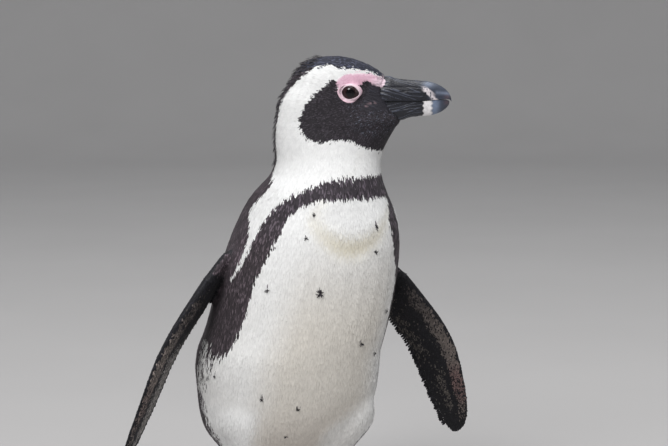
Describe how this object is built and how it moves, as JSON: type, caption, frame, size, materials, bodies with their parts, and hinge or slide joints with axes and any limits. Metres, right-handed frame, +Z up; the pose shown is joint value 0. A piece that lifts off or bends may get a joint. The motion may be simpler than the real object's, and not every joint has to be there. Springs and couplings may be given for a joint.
{
  "type": "african penguin",
  "caption": "Life-size still model of an African penguin standing at ease, its flippers held out and its head turned to its left.",
  "frame": {"origin": "centre of the bird's box, at the level its soles stand on", "axes": "+Z up; the bird's body faces -Y; +X is its left side"},
  "size_m": [0.345, 0.2186, 0.4396],
  "materials": {
    "plumage_white": "short dense feathers, white, a little warm on the belly",
    "plumage_dark": "short dense feathers, brown-black, with white markings",
    "flipper_coat": "very short scale-like feathers, black with a grey-brown speckled band inside",
    "foot_skin": "matt pebbled skin, black with pinkish grey blotches",
    "bill_horn": "slate-black horn with fine lengthwise wrinkles and a pale band near the tip",
    "claw_horn": "black horn, half gloss",
    "eye_brown": "very dark brown, wet gloss"
  },
  "bodies": {
    "root": {"bill_lower": "bill_horn", "bill_upper": "bill_horn", "claw_left_hind": "claw_horn", "claw_left_inner": "claw_horn", "claw_left_middle": "claw_horn", "claw_left_outer": "claw_horn", "claw_right_hind": "claw_horn", "claw_right_inner": "claw_horn", "claw_right_middle": "claw_horn", "claw_right_outer": "claw_horn", "eye_left": "eye_brown", "eye_right": "eye_brown", "flipper_left": "flipper_coat", "flipper_right": "flipper_coat", "foot_left": "foot_skin", "foot_right": "foot_skin", "head": "plumage_dark", "leg_left": "plumage_white", "leg_right": "plumage_white", "neck": "plumage_white", "tail": "plumage_dark", "trunk": "plumage_white"}
  },
  "joints": []
}
